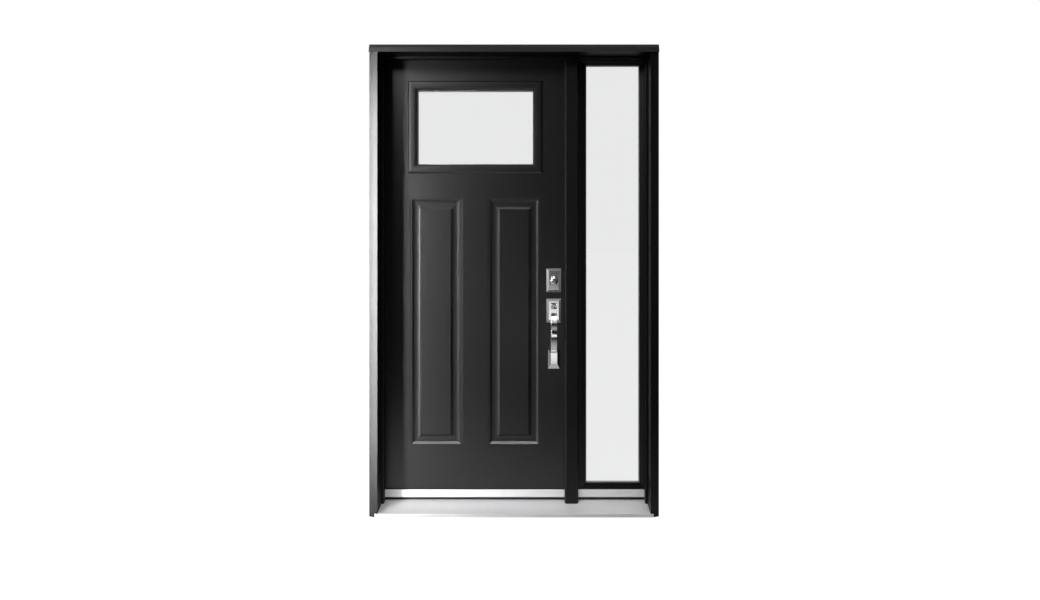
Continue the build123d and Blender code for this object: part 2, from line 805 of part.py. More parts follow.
# Window in the slab: an outer and an inner frame clamp a sealed unit and meet in mid-slab
lite_mid_z = slab_bottom + lite_bottom + lite_height / 2
unit_front = slab_front + (slab_thickness - glass_unit_thickness) / 2
unit_back = unit_front + glass_unit_thickness
unit_width = lite_width + 2 * glass_edge_cover
unit_height = lite_height + 2 * glass_edge_cover
lite_section = [
    (0, 0),
    (0, -lite_frame_edge),
    (lite_rim_run, -lite_rim_level),
    (lite_crown_start, -lite_crown_level),
    (lite_crown_end, -lite_crown_level),
    (lite_shoulder_run, -lite_shoulder_level),
    (lite_inner_run, lite_inner_level),
    (lite_frame_width, lite_inner_level),
    (lite_frame_width, unit_front - slab_front),
    (lite_leg_end, unit_front - slab_front),
    (lite_leg_end, slab_thickness / 2),
    (lite_frame_lap, slab_thickness / 2),
    (lite_frame_lap, 0),
]
for name, face_y, into in (("lite_outer_frame", slab_front, 1), ("lite_inner_frame", slab_back, -1)):
    outer_width = lite_width + 2 * lite_frame_width
    outer_height = lite_height + 2 * lite_frame_width
    left = slab_middle - outer_width / 2
    right = slab_middle + outer_width / 2
    low = lite_mid_z - outer_height / 2
    high = lite_mid_z + outer_height / 2
    with BuildPart() as lite_frame:
        with BuildLine() as lite_loop:
            Polyline(
                (left, face_y, lite_mid_z),
                (left, face_y, high),
                (right, face_y, high),
                (right, face_y, low),
                (left, face_y, low),
                (left, face_y, lite_mid_z),
            )
        with BuildSketch(Plane(origin=(left, face_y, lite_mid_z), x_dir=(1, 0, 0), z_dir=(0, 0, 1))):
            with BuildLine():
                Polyline(*[(reach, into * depth) for reach, depth in lite_section], close=True)
            make_face()
        sweep(path=lite_loop.wire(), transition=Transition.RIGHT)
    write(lite_frame, name)

glass_panes(
    "lite_panes", slab_middle, lite_mid_z - unit_height / 2, unit_width, unit_height,
    (unit_front, unit_back - glass_thickness),
)
spacer_ring(
    "lite_spacer", slab_middle, lite_mid_z - unit_height / 2, unit_width, unit_height,
    unit_front + glass_thickness, unit_back - glass_thickness,
)

# Butt hinges: mortised leaves, five knuckles round a headed pin
knuckle_length = (hinge_height - (knuckle_count - 1) * knuckle_gap) / knuckle_count
for name, leaf_x, remainder in (
    ("hinge_frame_leaves", left_rabbet - hinge_leaf_thickness / 2, 0),
    ("hinge_door_leaves", slab_left + hinge_leaf_thickness / 2, 1),
):
    bore = pin_radius if remainder == 0 else pin_radius + pin_clearance
    with BuildPart() as leaves:
        for middle in hinge_heights():
            foot = middle - hinge_height / 2
            leaf_front = jamb_depth - hinge_leaf_width
            with BuildSketch(Plane.XY.offset(foot)):
                with Locations((leaf_x, (leaf_front + hinge_axis_y) / 2)):
                    Rectangle(hinge_leaf_thickness, hinge_axis_y - leaf_front)
            extrude(amount=hinge_height)
            for index in range(knuckle_count):
                knuckle_foot = foot + index * (knuckle_length + knuckle_gap)
                own = index % 2 == remainder
                with BuildSketch(Plane.XY.offset(knuckle_foot if own else knuckle_foot - knuckle_gap)):
                    with Locations((hinge_axis_x, hinge_axis_y)):
                        Circle(knuckle_radius if own else knuckle_radius + knuckle_relief)
                if own:
                    extrude(amount=knuckle_length)
                else:
                    extrude(amount=knuckle_length + 2 * knuckle_gap, mode=Mode.SUBTRACT)
            with BuildSketch(Plane.XY.offset(foot)):
                with Locations((hinge_axis_x, hinge_axis_y)):
                    Circle(bore)
            extrude(amount=hinge_height, mode=Mode.SUBTRACT)
    write(leaves, name)

with BuildPart() as hinge_pins:
    for middle in hinge_heights():
        with BuildSketch(Plane.XY.offset(middle - hinge_height / 2)):
            with Locations((hinge_axis_x, hinge_axis_y)):
                Circle(pin_radius)
        extrude(amount=hinge_height)
        with BuildSketch(Plane.XY.offset(middle + hinge_height / 2)):
            with Locations((hinge_axis_x, hinge_axis_y)):
                Circle(pin_head_radius)
        extrude(amount=pin_head_height)
write(hinge_pins, "hinge_pins")


# Lock hardware
def bevelled_plate(face_y, outward, middle_z, width, height, thickness, border, drop):
    """Adds a plate on a slab face whose border falls away towards its edges."""
    with BuildSketch(Plane.XZ.offset(-face_y)) as base:
        with Locations((lock_x, middle_z)):
            Rectangle(width, height)
    extrude(base.sketch, amount=-outward * (thickness - drop))
    rim_y = face_y + outward * (thickness - drop)
    with BuildSketch(Plane.XZ.offset(-rim_y)) as rim:
        with Locations((lock_x, middle_z)):
            Rectangle(width, height)
    with BuildSketch(Plane.XZ.offset(-(face_y + outward * thickness))) as field:
        with Locations((lock_x, middle_z)):
            Rectangle(width - 2 * border, height - 2 * border)
    loft(sections=[rim.sketch.face(), field.sketch.face()], ruled=True)


with BuildPart() as deadbolt_plate:
    bevelled_plate(
        slab_front, -1, deadbolt_z, plate_width, plate_height, plate_thickness, plate_border, plate_border_drop
    )
write(deadbolt_plate, "deadbolt_plate")

housing_front = plate_front - housing_length
plug_back = housing_front + plug_length
with BuildPart() as deadbolt_housing:
    with BuildSketch(Plane.YZ.offset(lock_x)):
        with BuildLine():
            profile = [
                (0, 0),
                (0, housing_radius),
                (housing_length - housing_chamfer, housing_shoulder_radius),
                (housing_length, housing_shoulder_radius - housing_chamfer),
                (housing_length, 0),
            ]
            Polyline(*[(plate_front - along, deadbolt_z + radius) for along, radius in profile], close=True)
        make_face()
    revolve(axis=Axis((lock_x, plate_front, deadbolt_z), (0, 1, 0)))
    with BuildSketch(Plane.XZ.offset(-housing_front)):
        with Locations((lock_x, deadbolt_z)):
            Circle(plug_radius + plug_clearance)
    extrude(amount=-(plug_length + plug_end_gap), mode=Mode.SUBTRACT)
write(deadbolt_housing, "deadbolt_housing")

with BuildPart() as key_plug:
    with BuildSketch(Plane.XZ.offset(-plug_back)):
        with Locations((lock_x, deadbolt_z)):
            Circle(plug_radius)
    extrude(amount=plug_length + plug_proud)
    with BuildSketch(Plane.XZ.offset(-(housing_front - plug_proud))):
        with Locations((lock_x, deadbolt_z)):
            Rectangle(key_slot_width, key_slot_height)
    extrude(amount=-key_slot_depth, mode=Mode.SUBTRACT)
write(key_plug, "key_plug")

# Handle plate with a window for the thumb piece
thumb_axis_y = slab_front - plate_thickness / 2
thumb_axis_z = handle_z + thumb_above_handle
window_width = thumb_neck_width + 2 * thumb_side_clearance
with BuildPart() as handle_plate:
    bevelled_plate(
        slab_front, -1, handle_z, plate_width, plate_height, plate_thickness, plate_border, plate_border_drop
    )
    with BuildSketch(Plane.XZ.offset(-slab_front)):
        with Locations((lock_x, thumb_axis_z + thumb_window_shift)):
            Rectangle(window_width, thumb_window_height)
    extrude(amount=plate_thickness, mode=Mode.SUBTRACT)
    # Blind holes for the two stub pins of the thumb piece
    with BuildSketch(Plane.YZ.offset(lock_x - window_width / 2 - thumb_pin_hold - thumb_pin_end_gap)):
        with Locations((thumb_axis_y, thumb_axis_z)):
            Circle(thumb_pin_radius + thumb_pin_clearance)
    extrude(amount=window_width + 2 * (thumb_pin_hold + thumb_pin_end_gap), mode=Mode.SUBTRACT)
write(handle_plate, "handle_plate")

with BuildPart() as thumb_piece:
    with BuildSketch(Plane.YZ.offset(lock_x - thumb_neck_width / 2)):
        with BuildLine():
            tongue = [
                (0, thumb_hub_radius),
                (-thumb_plate_exit, thumb_hub_radius),
                (-thumb_reach, thumb_hub_radius - thumb_drop),
                (-thumb_reach, thumb_hub_radius - thumb_drop - thumb_thickness),
                (-thumb_plate_exit, -thumb_hub_radius),
                (0, -thumb_hub_radius),
            ]
            Polyline(*[(thumb_axis_y + out, thumb_axis_z + up) for out, up in tongue], close=True)
        make_face()
        with Locations((thumb_axis_y, thumb_axis_z)):
            Circle(thumb_hub_radius)
    extrude(amount=thumb_neck_width)
    # Broad pad on the outer part of the tongue
    with BuildSketch(Plane.YZ.offset(lock_x - thumb_width / 2)):
        with BuildLine():
            pad_top = thumb_hub_radius - thumb_drop * (thumb_pad_start - thumb_plate_exit) / (
                thumb_reach - thumb_plate_exit
            )
            pad = [
                (-thumb_pad_start, pad_top),
                (-thumb_reach, thumb_hub_radius - thumb_drop),
                (-thumb_reach, thumb_hub_radius - thumb_drop - thumb_thickness),
                (-thumb_pad_start, pad_top - thumb_thickness),
            ]
            Polyline(*[(thumb_axis_y + out, thumb_axis_z + up) for out, up in pad], close=True)
        make_face()
    extrude(amount=thumb_width)
    # Stub pins
    with BuildSketch(Plane.YZ.offset(lock_x - window_width / 2 - thumb_pin_hold)):
        with Locations((thumb_axis_y, thumb_axis_z)):
            Circle(thumb_pin_radius)
    extrude(amount=window_width + 2 * thumb_pin_hold)
write(thumb_piece, "thumb_piece")

# Arched grip between the handle plate and a tapered foot
foot_front = slab_front - foot_thickness
with BuildPart() as grip_foot_plate:
    with BuildSketch(Plane.XZ.offset(-slab_front)):
        with Locations((lock_x, foot_z)):
            Rectangle(foot_width, foot_height)
    extrude(amount=foot_rim)
    with BuildSketch(Plane.XZ.offset(-(slab_front - foot_rim))) as foot_base:
        with Locations((lock_x, foot_z)):
            Rectangle(foot_width, foot_height)
    with BuildSketch(Plane.XZ.offset(-foot_front)) as foot_face:
        with Locations((lock_x, foot_z + foot_face_shift)):
            Rectangle(foot_face_width, foot_face_height)
    loft(sections=[foot_base.sketch.face(), foot_face.sketch.face()], ruled=True)
write(grip_foot_plate, "grip_foot_plate")

grip_top = handle_z - grip_top_below_handle
grip_bottom = foot_z + grip_bottom_above_foot
grip_middle = (grip_top + grip_bottom) / 2
grip_front = slab_front - grip_projection
with BuildPart() as grip:
    with BuildSketch(Plane.YZ.offset(lock_x - grip_width / 2)):
        with BuildLine():
            ThreePointArc((plate_front, grip_top), (grip_front, grip_middle), (foot_front, grip_bottom))
            Line((foot_front, grip_bottom), (foot_front, grip_bottom + grip_end_height))
            ThreePointArc(
                (foot_front, grip_bottom + grip_end_height),
                (grip_front + grip_thickness, grip_middle),
                (plate_front, grip_top - grip_end_height),
            )
            Line((plate_front, grip_top - grip_end_height), (plate_front, grip_top))
        make_face()
    extrude(amount=grip_width)
write(grip, "grip")

# Indoor side: plates, a knob and a thumb turn
with BuildPart() as knob_plate:
    bevelled_plate(
        slab_back, 1, handle_z, plate_width, plate_height, plate_thickness, plate_border, plate_border_drop
    )
write(knob_plate, "knob_plate")

knob_base = slab_back + plate_thickness
with BuildPart() as door_knob:
    with BuildSketch(Plane.YZ.offset(lock_x)):
        with BuildLine():
            profile = [
                (0, 0),
                (0, knob_neck_radius),
                (knob_neck_length, knob_neck_radius),
                (knob_neck_length + knob_flare, knob_radius),
                (knob_length - knob_front_bevel, knob_radius),
                (knob_length, knob_radius - knob_front_bevel),
                (knob_length, 0),
            ]
            Polyline(*[(knob_base + along, handle_z + radius) for along, radius in profile], close=True)
        make_face()
    revolve(axis=Axis((lock_x, knob_base, handle_z), (0, 1, 0)))
write(door_knob, "door_knob")

with BuildPart() as thumbturn:
    bevelled_plate(
        slab_back, 1, deadbolt_z, plate_width, plate_height, plate_thickness, plate_border, plate_border_drop
    )
    with BuildSketch(Plane.XZ.offset(-knob_base)):
        with Locations((lock_x, deadbolt_z)):
            Circle(knob_neck_radius)
    extrude(amount=-thumbturn_neck)
    with BuildSketch(Plane.XZ.offset(-(knob_base + thumbturn_neck))):
        with Locations((lock_x, deadbolt_z)):
            SlotOverall(thumbturn_length, thumbturn_width, rotation=90)
    extrude(amount=-(thumbturn_projection - thumbturn_neck))
write(thumbturn, "thumbturn")

print(len(written), "pieces written")
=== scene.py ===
# %% [markdown]
# # An entrance door in its frame
#
# The solids of the door are already made, and Blender gives them their looks. This first cell loads them as
# a fixed frame: every piece lies where it is in the real unit, in metres, with +X to the right seen from
# outside, +Y pointing indoors and +Z up.

# %% Load the frame
import json
import math

import bmesh
import bpy
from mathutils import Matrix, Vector


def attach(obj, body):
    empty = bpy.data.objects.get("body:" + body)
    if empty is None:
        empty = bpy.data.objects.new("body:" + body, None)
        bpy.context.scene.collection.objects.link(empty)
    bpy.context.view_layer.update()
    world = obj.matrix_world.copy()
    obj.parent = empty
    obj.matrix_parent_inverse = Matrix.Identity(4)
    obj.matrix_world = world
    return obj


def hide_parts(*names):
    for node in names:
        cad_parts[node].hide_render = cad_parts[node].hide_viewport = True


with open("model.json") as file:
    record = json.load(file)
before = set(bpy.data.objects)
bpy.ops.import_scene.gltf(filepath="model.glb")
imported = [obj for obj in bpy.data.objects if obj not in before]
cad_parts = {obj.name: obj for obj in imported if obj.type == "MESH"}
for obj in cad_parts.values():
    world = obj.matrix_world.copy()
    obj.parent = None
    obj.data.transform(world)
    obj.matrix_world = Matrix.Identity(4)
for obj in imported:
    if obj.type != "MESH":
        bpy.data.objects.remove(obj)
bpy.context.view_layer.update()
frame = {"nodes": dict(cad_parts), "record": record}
nodes = frame["nodes"]
print("nodes:", len(nodes))

# %% [markdown]
# ## Shader maths as Python expressions
#
# A finish is mostly small sums: a little noise added to a roughness, a mask that picks one colour over
# another. Written out as nodes, such sums are hard to read. So one small class wraps an output socket, and
# Python's own operators add the Math nodes. Colours are never sent through Math nodes, because those turn a
# colour grey: a Mix node blends them.

# %% The socket wrapper
class Wire:
    """An output socket of a shader node, on which Python's operators add Math nodes."""

    def __init__(self, shading, socket):
        self.shading = shading
        self.socket = socket

    def _maths(self, operation, first, second):
        return self.shading.node("ShaderNodeMath", {"operation": operation}, {0: first, 1: second})

    def __add__(self, other):
        return self._maths("ADD", self, other)

    def __radd__(self, other):
        return self._maths("ADD", other, self)

    def __sub__(self, other):
        return self._maths("SUBTRACT", self, other)

    def __rsub__(self, other):
        return self._maths("SUBTRACT", other, self)

    def __mul__(self, other):
        return self._maths("MULTIPLY", self, other)

    def __rmul__(self, other):
        return self._maths("MULTIPLY", other, self)

    def __truediv__(self, other):
        return self._maths("DIVIDE", self, other)

    def __pow__(self, other):
        return self._maths("POWER", self, other)

    def __gt__(self, other):
        return self._maths("GREATER_THAN", self, other)

    def __lt__(self, other):
        return self._maths("LESS_THAN", self, other)

    def larger(self, other):
        """The larger of two values."""
        return self._maths("MAXIMUM", self, other)

    def smaller(self, other):
        """The smaller of two values."""
        return self._maths("MINIMUM", self, other)

    def sibling(self, output):
        """Another output of the same node."""
        return Wire(self.shading, self.socket.node.outputs[output])


print("operators ready")

# %% [markdown]
# ## Node trees
#
# Materials and the world are both node trees that end in one output. A first class adds any node to such a
# tree, whatever its kind, and a second one, for the finish of a piece, knows the few patterns that all
# finishes here are made of: noise in metres on the piece, two blended colours, and a bump with a real
# height.

# %% Node trees and finishes
class Shading:
    """The node tree of a material or a world, with one method that adds any node."""

    def __init__(self, owner, output_kind):
        owner.use_nodes = True
        self.owner = owner
        self.tree = owner.node_tree
        self.tree.nodes.clear()
        self.output = self.tree.nodes.new(output_kind)

    def connect(self, socket, value):
        """Feeds a socket from a wire, or sets its own value; a colour is given without its alpha."""
        if isinstance(value, Wire):
            self.tree.links.new(value.socket, socket)
        elif socket.type == "RGBA":
            socket.default_value = (*value, 1.0)
        else:
            socket.default_value = value

    def node(self, kind, settings=None, sockets=None, out=0):
        """Adds a node of one kind: its settings come first, then the values or wires of its sockets."""
        added = self.tree.nodes.new(kind)
        for key, value in (settings or {}).items():
            setattr(added, key, value)
        for key, value in (sockets or {}).items():
            self.connect(added.inputs[key], value)
        return Wire(self, added.outputs[out])

    def show(self, shader):
        """Sends a shader to the output and returns the material or world."""
        self.tree.links.new(shader.socket, self.output.inputs["Surface"])
        return self.owner


class Finish(Shading):
    """The material of a piece."""

    def __init__(self, name):
        super().__init__(bpy.data.materials.new(name), "ShaderNodeOutputMaterial")

    def place(self):
        """Object coordinates: metres on the piece itself."""
        return self.node("ShaderNodeTexCoord", out="Object")

    def stretched(self, scale):
        """Object coordinates scaled by a different amount along each axis."""
        sockets = {"Vector": self.place(), "Scale": scale}
        return self.node("ShaderNodeMapping", {"vector_type": "POINT"}, sockets)

    def noise(self, scale, detail, vector=None, roughness=0.5):
        """Cloudy values between 0 and 1."""
        sockets = {"Vector": vector or self.place(), "Scale": scale, "Detail": detail, "Roughness": roughness}
        return self.node("ShaderNodeTexNoise", sockets=sockets, out="Fac")

    def between(self, factor, first, second):
        """A colour that goes from the first to the second as the factor rises."""
        return self.node("ShaderNodeMix", {"data_type": "RGBA"}, {0: factor, 6: first, 7: second}, 2)

    def bump(self, height, distance):
        """A bumped normal: where the height is 1, the surface rises by the distance in metres."""
        return self.node("ShaderNodeBump", sockets={"Height": height, "Distance": distance})

    def surface(self, **sockets):
        """Ends the material in a Principled shader; underscores in names stand for spaces."""
        named = {key.replace("_", " "): value for key, value in sockets.items()}
        return self.show(self.node("ShaderNodeBsdfPrincipled", sockets=named))


print("node trees ready")

# %% [markdown]
# ## Black factory paint
#
# The skins are steel sheet, primed and sprayed with a satin black; frame, stops and casing carry a slightly
# duller coat of the same black. Sprayed paint is never a perfect mirror: it dries with a fine ripple that
# painters call orange peel, its sheen changes a little from place to place, and thin sheet waves slightly
# over its foam. Photographed paint could be laid on instead, but it would need a picture for each piece.
# Noise at those three scales, in metres on the piece, gives every piece the same paint at its true size.

# %% Black paints
MILLIMETRE = 0.001
PEEL_SCALE = 520.0
PEEL_HEIGHT = 0.012
SHEET_WAVE_SCALE = 3.2
SHEET_WAVE_HEIGHT = 0.12
SHEEN_SCALE = 14.0
SHEEN_SPREAD = 0.05


def black_paint(name, deep, worn, roughness, specular, wave):
    """Sprayed black paint: two close blacks, a wandering sheen, and orange peel and waves in millimetres."""
    paint = Finish(name)
    cloud = paint.noise(SHEEN_SCALE, detail=4.0)
    peel = paint.noise(PEEL_SCALE, detail=2.0)
    sheet = paint.noise(SHEET_WAVE_SCALE, detail=1.0)
    return paint.surface(
        Base_Color=paint.between(cloud, deep, worn),
        Roughness=roughness + (cloud - 0.5) * SHEEN_SPREAD,
        Normal=paint.bump(peel * PEEL_HEIGHT + sheet * wave, MILLIMETRE),
        Specular_IOR_Level=specular,
    )


door_paint = black_paint(
    "door_paint",
    deep=(0.0020, 0.0020, 0.0021),
    worn=(0.0030, 0.0030, 0.0031),
    roughness=0.35,
    specular=0.85,
    wave=SHEET_WAVE_HEIGHT,
)
frame_paint = black_paint(
    "frame_paint",
    deep=(0.0018, 0.0018, 0.0019),
    worn=(0.0026, 0.0026, 0.0027),
    roughness=0.43,
    specular=0.42,
    wave=0.0,
)
print("paints:", door_paint.name, frame_paint.name)

# %% [markdown]
# ## Painted wood edges
#
# Between the two skins the slab has wooden edge members, painted black with the rest. Paint on wood lets
# the grain through as fine long ridges. A Wave texture would repeat them like a comb, so noise is stretched
# along the height of the door instead: its ridges begin and end as those of real grain do.

# %% Wood edges
GRAIN_STRETCH = (260.0, 260.0, 6.0)
GRAIN_HEIGHT = 0.12 * MILLIMETRE
WOOD_PAINT_DEEP = (0.010, 0.010, 0.010)
WOOD_PAINT_LIGHT = (0.020, 0.019, 0.018)
WOOD_PAINT_ROUGHNESS = 0.42
WOOD_PAINT_SPREAD = 0.16


def painted_wood():
    """Black paint over upright grain."""
    wood = Finish("edge_wood")
    grain = wood.noise(1.0, detail=6.0, vector=wood.stretched(GRAIN_STRETCH), roughness=0.6)
    return wood.surface(
        Base_Color=wood.between(grain, WOOD_PAINT_DEEP, WOOD_PAINT_LIGHT),
        Roughness=WOOD_PAINT_ROUGHNESS + grain * WOOD_PAINT_SPREAD,
        Normal=wood.bump(grain, GRAIN_HEIGHT),
    )


edge_wood = painted_wood()
print("wood:", edge_wood.name)

# %% [markdown]
# ## Extruded aluminium
#
# The sill deck and the threshold are aluminium extrusions. The die leaves hair-fine lines along their
# length, which runs from side to side here. An anisotropic shader could stretch the shine along them, but
# no line would show close up, so noise is stretched along X and bumps the surface. The deck is a dull mill
# finish with some grey clouding from handling; the threshold strip is brighter. Both look nearly white in
# the photograph, paler than bare metal in a dark room, so only a share of each shader is metal.

# %% Aluminium finishes
DIE_LINE_STRETCH = (1.5, 900.0, 900.0)
DIE_LINE_SPREAD = 0.12
HANDLING_SCALE = 9.0
HANDLING_SHARE = 0.6


def extruded(name, light, dark, roughness, metallic, line_height):
    """Aluminium with die lines along X and faint clouding."""
    metal = Finish(name)
    lines = metal.noise(1.0, detail=3.0, vector=metal.stretched(DIE_LINE_STRETCH), roughness=0.7)
    cloud = metal.noise(HANDLING_SCALE, detail=5.0)
    return metal.surface(
        Base_Color=metal.between(cloud * HANDLING_SHARE + lines * (1 - HANDLING_SHARE), dark, light),
        Roughness=roughness + lines * DIE_LINE_SPREAD,
        Metallic=metallic,
        Normal=metal.bump(lines, line_height * MILLIMETRE),
    )


sill_aluminium = extruded(
    "sill_aluminium",
    light=(0.82, 0.82, 0.82),
    dark=(0.68, 0.68, 0.69),
    roughness=0.38,
    metallic=0.30,
    line_height=0.02,
)
saddle_aluminium = extruded(
    "saddle_aluminium",
    light=(0.97, 0.97, 0.97),
    dark=(0.92, 0.92, 0.93),
    roughness=0.30,
    metallic=0.15,
    line_height=0.012,
)
spacer_metal = extruded(
    "spacer_metal",
    light=(0.60, 0.62, 0.61),
    dark=(0.50, 0.52, 0.51),
    roughness=0.45,
    metallic=0.8,
    line_height=0.015,
)
print("aluminium:", sill_aluminium.name, saddle_aluminium.name, spacer_metal.name)

# %% [markdown]
# ## Plated and brushed metals
#
# The lock set is polished and chrome plated: nearly a mirror, with the faint haze and fine wipe marks of a
# handled part. The hinges, strikes and faceplates are brushed steel that isn't polished. A perfect mirror
# would be simpler, but it looks computed, and a little wandering roughness is what makes plating look like
# metal.

# %% Chrome and steel
HAZE_SCALE = 38.0
HAZE_SPREAD = 0.04
WIPE_STRETCH = (300.0, 300.0, 40.0)
WIPE_SPREAD = 0.03
WIPE_HEIGHT = 0.004 * MILLIMETRE
CHROME_DARK = (0.80, 0.80, 0.81)
CHROME_LIGHT = (0.90, 0.90, 0.90)
CHROME_ROUGHNESS = 0.12
BRUSH_STRETCH = (1400.0, 1400.0, 30.0)
BRUSH_SPREAD = 0.15
BRUSH_HEIGHT = 0.01 * MILLIMETRE
BRUSH_SHADE = 0.85


def chrome():
    """Bright plating with faint haze and wipe marks."""
    plate = Finish("polished_chrome")
    haze = plate.noise(HAZE_SCALE, detail=4.0)
    wipes = plate.noise(1.0, detail=2.0, vector=plate.stretched(WIPE_STRETCH))
    return plate.surface(
        Base_Color=plate.between(haze, CHROME_DARK, CHROME_LIGHT),
        Roughness=CHROME_ROUGHNESS + haze * HAZE_SPREAD + wipes * WIPE_SPREAD,
        Metallic=1.0,
        Normal=plate.bump(wipes, WIPE_HEIGHT),
    )


def brushed(name, tone, roughness):
    """Steel with short upright brush lines."""
    steel = Finish(name)
    lines = steel.noise(1.0, detail=2.0, vector=steel.stretched(BRUSH_STRETCH), roughness=0.6)
    return steel.surface(
        Base_Color=steel.between(lines, tuple(BRUSH_SHADE * part for part in tone), tone),
        Roughness=roughness + lines * BRUSH_SPREAD,
        Metallic=1.0,
        Normal=steel.bump(lines, BRUSH_HEIGHT),
    )


polished_chrome = chrome()
hinge_steel = brushed("hinge_steel", tone=(0.60, 0.60, 0.59), roughness=0.30)
plug_steel = brushed("plug_steel", tone=(0.55, 0.55, 0.54), roughness=0.22)
print("plated:", polished_chrome.name, hinge_steel.name, plug_steel.name)

# %% [markdown]
# ## Rubber, vinyl and moulded pieces
#
# Seals and the thermal break are soft or hard black plastics with no gloss, and the sill's base is a
# moulded composite. They differ only in tone, dullness and grain, so one function makes them instead of a
# material built by hand for each; the core's foam, which no one sees, is made the same way.

# %% Plastics
GRAIN_SPREAD = 0.1


def matt_plastic(name, dark, light, roughness, grain_scale, grain_height):
    """A dull moulded surface with a fine grain."""
    plastic = Finish(name)
    grain = plastic.noise(grain_scale, detail=3.0)
    return plastic.surface(
        Base_Color=plastic.between(grain, dark, light),
        Roughness=roughness + grain * GRAIN_SPREAD,
        Normal=plastic.bump(grain, grain_height * MILLIMETRE),
    )


seal_rubber = matt_plastic(
    "seal_rubber",
    dark=(0.010, 0.010, 0.010),
    light=(0.018, 0.018, 0.018),
    roughness=0.65,
    grain_scale=700.0,
    grain_height=0.03,
)
break_vinyl = matt_plastic(
    "break_vinyl",
    dark=(0.010, 0.010, 0.010),
    light=(0.015, 0.015, 0.016),
    roughness=0.50,
    grain_scale=450.0,
    grain_height=0.02,
)
sill_composite = matt_plastic(
    "sill_composite",
    dark=(0.05, 0.05, 0.05),
    light=(0.09, 0.09, 0.09),
    roughness=0.65,
    grain_scale=260.0,
    grain_height=0.1,
)
foam = matt_plastic(
    "foam",
    dark=(0.62, 0.58, 0.44),
    light=(0.74, 0.70, 0.56),
    roughness=0.85,
    grain_scale=320.0,
    grain_height=0.3,
)
print("plastics:", seal_rubber.name, break_vinyl.name, sill_composite.name, foam.name)

# %% [markdown]
# ## Clear sealed glass
#
# Each window is two sheets of clear glass. Real float glass absorbs a little light and reflects a little at
# a glancing view. A refracting shader would bend and darken what lies behind four surfaces more than the
# thin sheets do, so each pane is mostly transparent with a faint tint. Its gloss grows with the fifth power
# of how far the view turns from head on, which both faces of a pane share: the Fresnel node would turn the
# back faces into full mirrors at a slant, because the light isn't bent on its way in.

# %% Glass
HEAD_ON_GLOSS = 0.04
GLANCE_POWER = 5
GLASS_TINT = (0.985, 0.987, 0.986)
GLASS_DEPTH_TONE = (0.02, 0.025, 0.025)
GLASS_ROUGHNESS = 0.02
SMEAR_SCALE = 5.0
SMEAR_SPREAD = 0.03


def clear_glass_finish():
    """Thin clear glass: a tinted see-through part and a mirror part that grows at a glancing view."""
    glass = Finish("clear_glass")
    roughness = GLASS_ROUGHNESS + glass.noise(SMEAR_SCALE, detail=3.0) * SMEAR_SPREAD
    glance = glass.node("ShaderNodeLayerWeight", sockets={"Blend": 0.5}, out="Facing")
    sheen = HEAD_ON_GLOSS + (1 - HEAD_ON_GLOSS) * glance ** GLANCE_POWER
    clear = glass.node("ShaderNodeBsdfTransparent", sockets={"Color": GLASS_TINT})
    gloss = glass.node(
        "ShaderNodeBsdfPrincipled", sockets={"Base Color": GLASS_DEPTH_TONE, "Roughness": roughness}
    )
    return glass.show(glass.node("ShaderNodeMixShader", sockets={0: sheen, 1: clear, 2: gloss}))


clear_glass = clear_glass_finish()
print("glass:", clear_glass.name)

# %% [markdown]
# ## Dressing the solids
#
# Every solid keeps its shape and takes the finish of its material slot from the record. Each could be
# dressed by its own name, but a new piece would then be forgotten. So one table gives the finish of each
# slot, and one loop dresses all solids.

# %% Dress every node
finishes = {
    "door_paint": door_paint,
    "frame_paint": frame_paint,
    "edge_wood": edge_wood,
    "foam": foam,
    "sill_aluminium": sill_aluminium,
    "saddle_aluminium": saddle_aluminium,
    "sill_composite": sill_composite,
    "break_vinyl": break_vinyl,
    "seal_rubber": seal_rubber,
    "clear_glass": clear_glass,
    "spacer_metal": spacer_metal,
    "polished_chrome": polished_chrome,
    "plug_steel": plug_steel,
    "hinge_steel": hinge_steel,
}
for part in frame["record"]["subparts"]:
    solid = nodes[part["node"]]
    solid.data.materials.clear()
    solid.data.materials.append(finishes[part["material_slot"]])
print("dressed:", len(nodes))

# %% [markdown]
# ## Places read from the solids
#
# The pieces that Blender adds have to sit on the solids exactly. Their places could be typed in, but they
# would stay behind if a solid moved. So two helpers measure a solid's mesh, which lies in metres in the
# frame, and two more put a new piece in the scene and shade it smooth.

# %% Helpers for new pieces
def span(node, axis):
    """The lowest and highest place of a solid along x, y or z, to a hundredth of a millimetre."""
    places = [getattr(corner.co, axis) for corner in nodes[node].data.vertices]
    return round(min(places), 5), round(max(places), 5)


def middle(node, axis):
    """The middle of a solid along x, y or z."""
    return sum(span(node, axis)) / 2


def add_object(name, data):
    """Puts a mesh, lamp or camera in the scene, at the origin."""
    added = bpy.data.objects.new(name, data)
    bpy.context.collection.objects.link(added)
    return added


def shade_smooth(mesh):
    """Shades every face of a mesh smooth."""
    mesh.polygons.foreach_set("use_smooth", [True] * len(mesh.polygons))


print("lock housing:", span("deadbolt_housing", "x"), span("deadbolt_housing", "z"))

# %% [markdown]
# ## The domed lock housing
#
# The deadbolt's housing is a turned piece: a low dome that falls to the plate in one curve, with the plug
# in its middle. The solid has straight cones there, which mirror the room in hard rings. A bevel would
# soften the rings but not the cones between them, so the piece is turned again from a finer profile, each
# point of which is swept round the lock's axis, and it keeps the same bore. Its rims stay sharp, and the
# dome is shaded smooth.

